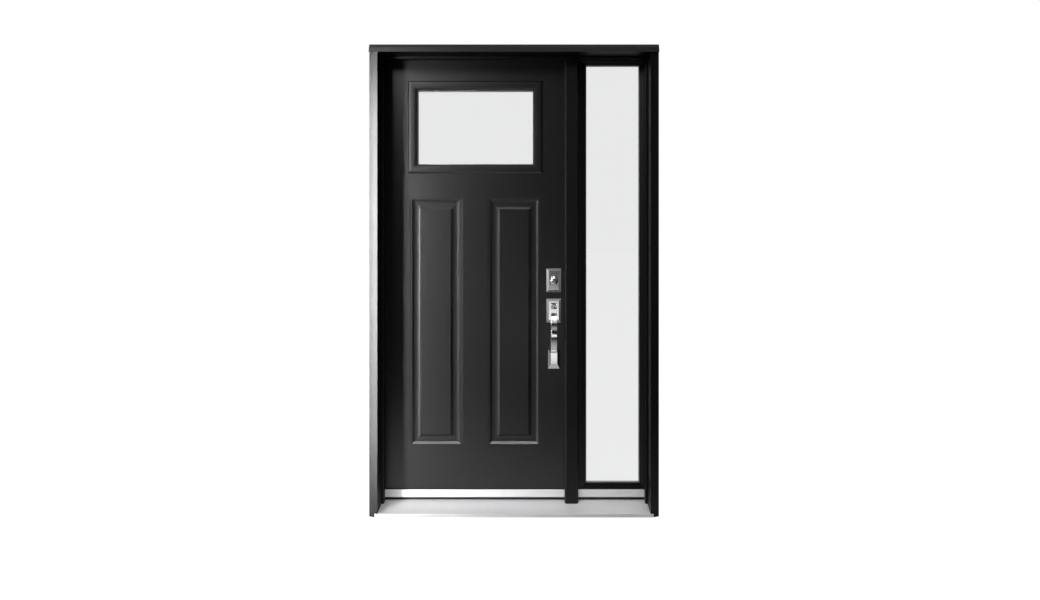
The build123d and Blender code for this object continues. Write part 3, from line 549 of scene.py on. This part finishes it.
# %% Turn the housing
LOCK_X = middle("deadbolt_housing", "x")
LOCK_Z = middle("deadbolt_housing", "z")
LOCK_PLATE_FRONT = span("deadbolt_plate", "y")[0]
TURN_SIDES = 96
SHARP_ANGLE = math.radians(40)
DOME_PROFILE = (
    (0.0205, 0.0),
    (0.0205, 0.0012),
    (0.0202, 0.0035),
    (0.0194, 0.0063),
    (0.0181, 0.0089),
    (0.0164, 0.0112),
    (0.0145, 0.0131),
    (0.0126, 0.0145),
    (0.0109, 0.0154),
    (0.0096, 0.0158),
    (0.0089, 0.0157),
    (0.0086, 0.0153),
    (0.0086, 0.0037),
)


def turned(name, profile, finish):
    """Sweeps a profile round the lock's axis; a point has a radius and a reach out of the plate."""
    rings = len(profile)
    vertices = []
    faces = []
    for side in range(TURN_SIDES):
        angle = 2 * math.pi * side / TURN_SIDES
        for radius, reach in profile:
            x = LOCK_X + radius * math.cos(angle)
            z = LOCK_Z + radius * math.sin(angle)
            vertices.append((x, LOCK_PLATE_FRONT - reach, z))
        here = side * rings
        beyond = (side + 1) % TURN_SIDES * rings
        faces += [(here + k, beyond + k, beyond + k + 1, here + k + 1) for k in range(rings - 1)]
    faces.append([side * rings for side in reversed(range(TURN_SIDES))])
    faces.append([side * rings + rings - 1 for side in range(TURN_SIDES)])
    mesh = bpy.data.meshes.new(name)
    mesh.from_pydata(vertices, [], faces)
    mesh.materials.append(finish)
    shade_smooth(mesh)
    mesh.set_sharp_from_angle(angle=SHARP_ANGLE)
    return add_object(name, mesh)


lock_dome = turned("lock_dome", DOME_PROFILE, polished_chrome)
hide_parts("deadbolt_housing")
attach(lock_dome, "door")
print("lock dome:", len(lock_dome.data.polygons), "faces")

# %% [markdown]
# ## Rounded edges on the grip
#
# A hand would feel the sharp edges of the solid grip, and sharp edges catch no light. The grip could be
# built again with round edges, but a Bevel modifier finds them by itself. A copy of the solid is merged
# first, because its mesh comes as loose triangles, its flat faces are joined again, and the modifier rounds
# every edge that turns by more than 40 degrees. A Weighted Normal modifier then lets the large faces set
# the shading, so that they mirror the room evenly and only the roundings bend it.

# %% Round the grip
GRIP_ROUNDING = 2.8 * MILLIMETRE
GRIP_ROUNDING_STEPS = 4
MERGE_DISTANCE = 0.01 * MILLIMETRE
FLAT_ANGLE = math.radians(1)
FACE_AREA_WEIGHT = 100


def merged_mesh(node):
    """A copy of a solid's mesh with its loose triangles merged and its flat faces joined."""
    shape = bmesh.new()
    shape.from_mesh(nodes[node].data)
    bmesh.ops.remove_doubles(shape, verts=shape.verts, dist=MERGE_DISTANCE)
    bmesh.ops.dissolve_limit(shape, angle_limit=FLAT_ANGLE, verts=shape.verts, edges=shape.edges)
    mesh = bpy.data.meshes.new(node + "_merged")
    shape.to_mesh(mesh)
    shape.free()
    return mesh


def made_plain(holder, name):
    """The plain mesh that an object's modifiers make; the object itself is removed."""
    seen = holder.evaluated_get(bpy.context.evaluated_depsgraph_get())
    mesh = bpy.data.meshes.new_from_object(seen)
    mesh.name = name
    bpy.data.objects.remove(holder)
    return mesh


def rounded_copy(name, node, finish, width, steps):
    """A merged copy of a solid whose sharp edges are rounded."""
    merged = merged_mesh(node)
    shade_smooth(merged)
    holder = add_object(node + "_merged", merged)
    rounding = holder.modifiers.new("rounding", "BEVEL")
    rounding.width = width
    rounding.segments = steps
    rounding.limit_method = "ANGLE"
    rounding.angle_limit = SHARP_ANGLE
    evening = holder.modifiers.new("evening", "WEIGHTED_NORMAL")
    evening.weight = FACE_AREA_WEIGHT
    rounded = made_plain(holder, name)
    rounded.materials.clear()
    rounded.materials.append(finish)
    return add_object(name, rounded)


rounded_grip = rounded_copy("rounded_grip", "grip", polished_chrome, GRIP_ROUNDING, GRIP_ROUNDING_STEPS)
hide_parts("grip")
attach(rounded_grip, "door")
print("grip:", len(rounded_grip.data.polygons), "faces")

# %% [markdown]
# ## A screw head for every point
#
# Each hinge leaf is held by four screws in a zigzag, and each faceplate and strike by two. Thirty-two heads
# could be copied one by one, but one head on plain points is easier to change. A Geometry Nodes tree cuts
# the cross recess once, with the exact solver, which leaves the head closed, and sets the head on every
# point, turned to the direction that the point keeps as an attribute.

# %% Screw heads by Geometry Nodes
HEAD_SIDES = 28
HEAD_SIZES = {
    "Head Radius": 3.8 * MILLIMETRE,
    "Head Height": 0.9 * MILLIMETRE,
    "Recess Length": 4.4 * MILLIMETRE,
    "Recess Width": 0.9 * MILLIMETRE,
}
CUTTER_HEIGHT = 1.0 * MILLIMETRE
CUTTER_RISE = 0.7 * MILLIMETRE


def screw_tree(finish):
    """Builds the tree that sets one recessed screw head on every point of a mesh."""
    tree = bpy.data.node_groups.new("screw_heads", "GeometryNodeTree")
    tree.interface.new_socket("Points", in_out="INPUT", socket_type="NodeSocketGeometry")
    for name in HEAD_SIZES:
        tree.interface.new_socket(name, in_out="INPUT", socket_type="NodeSocketFloat")
    tree.interface.new_socket("Heads", in_out="OUTPUT", socket_type="NodeSocketGeometry")
    inputs = tree.nodes.new("NodeGroupInput").outputs
    outputs = tree.nodes.new("NodeGroupOutput").inputs

    def add(kind, sockets=None, **settings):
        """Adds a node, sets it, and links or sets its sockets."""
        node = tree.nodes.new(kind)
        for key, value in settings.items():
            setattr(node, key, value)
        for key, value in (sockets or {}).items():
            if isinstance(value, bpy.types.NodeSocket):
                tree.links.new(value, node.inputs[key])
            else:
                node.inputs[key].default_value = value
        return node

    disc_sizes = {"Vertices": HEAD_SIDES, "Radius": inputs["Head Radius"], "Depth": inputs["Head Height"]}
    disc = add("GeometryNodeMeshCylinder", disc_sizes)
    head = add("GeometryNodeMeshBoolean", operation="DIFFERENCE", solver="EXACT")
    tree.links.new(disc.outputs["Mesh"], head.inputs["Mesh 1"])
    for long_axis in ("X", "Y"):
        sizes = {"X": inputs["Recess Width"], "Y": inputs["Recess Width"], "Z": CUTTER_HEIGHT}
        sizes[long_axis] = inputs["Recess Length"]
        size = add("ShaderNodeCombineXYZ", sizes)
        bar = add("GeometryNodeMeshCube", {"Size": size.outputs[0]})
        raised = {"Geometry": bar.outputs[0], "Translation": (0, 0, CUTTER_RISE)}
        cutter = add("GeometryNodeTransform", raised)
        tree.links.new(cutter.outputs[0], head.inputs["Mesh 2"])
    outward = add("GeometryNodeInputNamedAttribute", {"Name": "outward"}, data_type="FLOAT_VECTOR")
    turn = add("FunctionNodeAlignRotationToVector", {"Vector": outward.outputs["Attribute"]}, axis="Z")
    spread = add(
        "GeometryNodeInstanceOnPoints",
        {"Points": inputs["Points"], "Instance": head.outputs["Mesh"], "Rotation": turn.outputs[0]},
    )
    real = add("GeometryNodeRealizeInstances", {"Geometry": spread.outputs[0]})
    dressed = add("GeometryNodeSetMaterial", {"Geometry": real.outputs[0], "Material": finish})
    tree.links.new(dressed.outputs[0], outputs["Heads"])
    return tree


heads_tree = screw_tree(hinge_steel)
print("screw tree:", len(heads_tree.nodes), "nodes")

# %% [markdown]
# ## Setting the screws
#
# The two leaves of a hinge swing apart, and a mesh can follow only one body, so the frame and the door get
# a mesh each. Every kind of plate has one pattern of screws. The heights of all plates and the faces of the
# latch plates are read from the solids; the faces of the hinge leaves are given, because their knuckles
# reach past them.

# %% Set the screws
LEAF_HEIGHT = 102 * MILLIMETRE
LEAF_SCREWS = ((0.091, -0.039), (0.104, -0.014), (0.091, 0.014), (0.104, 0.039))
FRAME_LEAF_X = -0.6175
DOOR_LEAF_X = -0.612
LATCH_PLATE_HEIGHT = 57 * MILLIMETRE
LATCH_SCREW_RISE = 22 * MILLIMETRE
SCREW_SINK = 0.2 * MILLIMETRE

leaf_bottom, leaf_top = span("hinge_frame_leaves", "z")
hinge_heights = (leaf_bottom + LEAF_HEIGHT / 2, (leaf_bottom + leaf_top) / 2, leaf_top - LEAF_HEIGHT / 2)
latch_bottom, latch_top = span("latch_faceplates", "z")
latch_heights = (latch_bottom + LATCH_PLATE_HEIGHT / 2, latch_top - LATCH_PLATE_HEIGHT / 2)
latch_depth = middle("latch_faceplates", "y")
latch_screws = ((latch_depth, -LATCH_SCREW_RISE), (latch_depth, LATCH_SCREW_RISE))
strike_face = span("strike_plates", "x")[0]
faceplate_face = span("latch_faceplates", "x")[1] - SCREW_SINK
print("hinges at", hinge_heights, "latches at", latch_heights)


def screw_places(x, side, heights, pattern):
    """Screw places on a plate that faces along X, repeated at several heights."""
    return [((x, y, height + rise), side) for height in heights for y, rise in pattern]


def screws(name, places, body):
    """One mesh of screw heads for a body: each place is a point and the side that its head looks to."""
    points = bpy.data.meshes.new(name + "_points")
    points.from_pydata([place for place, side in places], [], [])
    outward = points.attributes.new("outward", "FLOAT_VECTOR", "POINT")
    for index, (place, side) in enumerate(places):
        outward.data[index].vector = (side, 0, 0)
    holder = add_object(name + "_points", points)
    heads = holder.modifiers.new("heads", "NODES")
    heads.node_group = heads_tree
    for socket in heads_tree.interface.items_tree:
        if socket.name in HEAD_SIZES:
            heads[socket.identifier] = HEAD_SIZES[socket.name]
    piece = add_object(name, made_plain(holder, name))
    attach(piece, body)
    print(name, len(places), "screws,", len(piece.data.polygons), "faces")


screws(
    "frame_screws",
    screw_places(FRAME_LEAF_X, 1, hinge_heights, LEAF_SCREWS)
    + screw_places(strike_face, -1, latch_heights, latch_screws),
    "frame",
)
screws(
    "door_screws",
    screw_places(DOOR_LEAF_X, -1, hinge_heights, LEAF_SCREWS)
    + screw_places(faceplate_face, 1, latch_heights, latch_screws),
    "door",
)

# %% [markdown]
# ## Camera
#
# The photograph was taken level, a little right of the unit's middle, with a wide lens from under three
# metres. Tilting the camera would frame the door as well, but its uprights would lean together. A level
# camera keeps them parallel, and a small lens shift frames the picture, as with a view camera.

# %% Camera
PHOTO_WIDTH = 1040.0
PHOTO_HEIGHT = 600.0
LENS_PIXELS = 600.9
AXIS_COLUMN = 536.0
HORIZON_ROW = 229.0
SENSOR_MM = 36.0
CAMERA_PLACE = (0.0984, -2.717, 1.29)

camera_data = bpy.data.cameras.new("camera")
camera_data.sensor_width = SENSOR_MM
camera_data.lens = SENSOR_MM * LENS_PIXELS / PHOTO_WIDTH
camera_data.shift_x = (PHOTO_WIDTH / 2 - AXIS_COLUMN) / PHOTO_WIDTH
camera_data.shift_y = (HORIZON_ROW - PHOTO_HEIGHT / 2) / PHOTO_WIDTH
camera = add_object("camera", camera_data)
camera.location = CAMERA_PLACE
camera.rotation_euler = (math.radians(90), 0, 0)
bpy.context.scene.camera = camera
bpy.context.scene.view_settings.view_transform = "Standard"
print("lens:", round(camera_data.lens, 2), "mm")
print("shift:", round(camera_data.shift_x, 4), round(camera_data.shift_y, 4))

# %% [markdown]
# ## Studio light
#
# A tall narrow lamp with a grid stands close at the left, 45 degrees off: the casing's shadow reaches as
# far across the slab as the casing stands in front of it, and the light on the black paint falls away fast
# to the right. A broad lamp further off would be softer, but it would light the whole slab alike. A high
# lamp lights the head casing, and a third one with a grid points down at the sill.

# %% Lamps
def area_lamp(name, place, aim, size, power, spread):
    """Adds a rectangular lamp at a place, turned to face a point, whose light fans out by an angle."""
    data = bpy.data.lights.new(name, "AREA")
    data.shape = "RECTANGLE"
    data.size, data.size_y = size
    data.energy = power
    data.spread = math.radians(spread)
    lamp = add_object(name, data)
    lamp.location = place
    lamp.rotation_euler = (Vector(aim) - Vector(place)).to_track_quat("-Z", "Y").to_euler()
    lamp.visible_camera = False


area_lamp(
    "tall_lamp", place=(-1.66, -1.06, 1.02), aim=(-0.60, 0.0, 1.00), size=(0.25, 2.2), power=12.0, spread=35
)
area_lamp(
    "high_lamp", place=(-1.7, -1.9, 3.4), aim=(-0.1, 0.0, 1.3), size=(0.8, 0.8), power=46.0, spread=180
)
area_lamp(
    "sill_lamp", place=(0.3, -1.0, 3.6), aim=(0.25, 0.0, 0.03), size=(2.2, 0.3), power=3.4, spread=36
)
print("lamps:", len(bpy.data.lights))

# %% [markdown]
# ## Cards for the lock set
#
# Polished metal shows only what it mirrors, so four weak softboxes shine at the lock set alone. White
# boards would do as well, but the paint would mirror them too; a lamp with a narrow spread is dark from
# anywhere else. Each is given by its tone, as a board would be. Blender makes a lamp brighter head on as
# its spread narrows, to keep its power, so the power is worked out from the tone, the size and the spread.

# %% Cards
LOCK_SET_PLACE = (LOCK_X, 0.0, 0.93)


def card(name, place, size, tone, spread):
    """Adds a weak lamp that shines at the lock set only, as bright as a card of one tone."""
    edge = math.radians(90 - spread / 2)
    gathered = 2 / (2 + (2 * edge - math.pi) * math.tan(edge))
    width, height = size
    area_lamp(name, place, LOCK_SET_PLACE, size, tone * math.pi * width * height / gathered, spread)


card("left_card", place=(-1.5, -2.7, 0.93), size=(0.5, 1.5), tone=1.2, spread=24)
card("right_card", place=(2.2, -2.5, 0.93), size=(1.2, 1.5), tone=0.4, spread=24)
card("front_card", place=(0.25, -3.4, 2.2), size=(1.2, 1.4), tone=0.5, spread=26)
card("top_card", place=(0.3, -1.7, 3.3), size=(1.6, 0.9), tone=0.7, spread=60)
print("lamps and cards:", len(bpy.data.lights))

# %% [markdown]
# ## World
#
# The photograph has a pure white surround, but the black paint and the lock's flat plate mirror a dark room
# in front of the door. A white world would turn both grey. So the world is white only where the camera
# looks straight at it or through glass. For mirrored and falling light it is nearly black ahead of the
# door, grey beside it and bright behind it.

# %% World
WHITE = (1.0, 1.0, 1.0)
ROOM_TONE = 0.004
BESIDE_EDGE = -0.42
BESIDE_TONE = 0.45
BACK_TONE = 0.75


def studio_world():
    """White for the camera, and a studio that is dark ahead of the door for everything else."""
    room = Shading(bpy.data.worlds.new("studio"), "ShaderNodeOutputWorld")
    direction = room.node("ShaderNodeTexCoord", out="Generated")
    inwards = room.node("ShaderNodeSeparateXYZ", sockets={0: direction}, out="Y")
    behind = inwards.larger(0.0) * BACK_TONE
    beside = (inwards > BESIDE_EDGE) * BESIDE_TONE
    tone = ROOM_TONE + beside.larger(behind)
    camera_ray = room.node("ShaderNodeLightPath", out="Is Camera Ray")
    seen = camera_ray.larger(camera_ray.sibling("Is Transmission Ray"))
    strength = seen + (1 - seen) * tone
    return room.show(room.node("ShaderNodeBackground", sockets={"Color": WHITE, "Strength": strength}))


bpy.context.scene.world = studio_world()
print("world:", bpy.context.scene.world.name)

# %% [markdown]
# ## Floor
#
# The door stands on a pale floor that keeps its shadow and melts into the white surround. A bright lamp on
# the floor would do that too, but it would also light the door from below. So the floor glows white for the
# camera. For mirrored rays it has a painted glow instead of lamplight: a painted pool of light near the door,
# brighter at the left, a painted strip of light far ahead, and an even painted glow behind the door. That is
# what the lower half of the paint and the grip mirror in the photograph.

# %% Floor
FLOOR_FRONT = 9.0
FLOOR_BACK = 30.0
FLOOR_SIDE = 30.0
FLOOR_DARK = (0.78, 0.78, 0.78)
FLOOR_LIGHT = (0.84, 0.84, 0.84)
SPECKLE_SCALE = 3.0
FLOOR_GLOW = 0.80
FLOOR_WHITE = 1.2
SWEEP_FAR = 1.6
SWEEP_NEAR = 0.3
SWEEP_TONE = 0.5
SWEEP_FALL = 0.3
STRIP_START = 2.8
STRIP_MIDDLE = 0.25
STRIP_HALF_WIDTH = 0.4
STRIP_TONE = 1.3
INDOOR_TONE = 0.45


def painted_floor_glow(pale):
    """Painted glow that mirrored rays see: a pool by the door, lighter at the left, a strip ahead, and
    indoors.
    """
    across = pale.node("ShaderNodeSeparateXYZ", sockets={0: pale.place()}, out="X")
    inwards = across.sibling("Y")
    ahead = 0 - inwards
    # Painted light: a glowing pool near the door that fades to the right, and a glowing strip far ahead.
    nearness = ((SWEEP_FAR - ahead) / (SWEEP_FAR - SWEEP_NEAR)).larger(0).smaller(1)
    sweep = nearness * (SWEEP_TONE - across * SWEEP_FALL).larger(0).smaller(1)
    aside = across - STRIP_MIDDLE
    strip = (ahead > STRIP_START) * (aside * aside < STRIP_HALF_WIDTH ** 2) * STRIP_TONE
    return (inwards > 0) * INDOOR_TONE + (ahead > 0) * sweep.larger(strip)


def floor_finish():
    """A pale floor, white to the camera except where the door shades it, with a painted glow for mirrored
    rays.
    """
    pale = Finish("pale_floor")
    speckle = pale.noise(SPECKLE_SCALE, detail=3.0)
    tone = pale.between(speckle, FLOOR_DARK, FLOOR_LIGHT)
    matt = pale.node("ShaderNodeBsdfDiffuse", sockets={"Color": tone})
    camera_ray = pale.node("ShaderNodeLightPath", out="Is Camera Ray")
    glossy_ray = camera_ray.sibling("Is Glossy Ray")
    # The camera sees plain white; mirrored rays see the painted glow.
    strength = camera_ray * FLOOR_WHITE + glossy_ray * painted_floor_glow(pale)
    glow = pale.node("ShaderNodeEmission", sockets={"Color": WHITE, "Strength": strength})
    share = (camera_ray * FLOOR_GLOW).larger(glossy_ray)
    return pale.show(pale.node("ShaderNodeMixShader", sockets={0: share, 1: matt, 2: glow}))


floor_mesh = bpy.data.meshes.new("floor")
floor_corners = [
    (-FLOOR_SIDE, -FLOOR_FRONT, 0),
    (FLOOR_SIDE, -FLOOR_FRONT, 0),
    (FLOOR_SIDE, FLOOR_BACK, 0),
    (-FLOOR_SIDE, FLOOR_BACK, 0),
]
floor_mesh.from_pydata(floor_corners, [], [(0, 1, 2, 3)])
floor_mesh.materials.append(floor_finish())
floor = add_object("floor", floor_mesh)
print("floor:", 2 * FLOOR_SIDE, "by", FLOOR_FRONT + FLOOR_BACK, "metres")
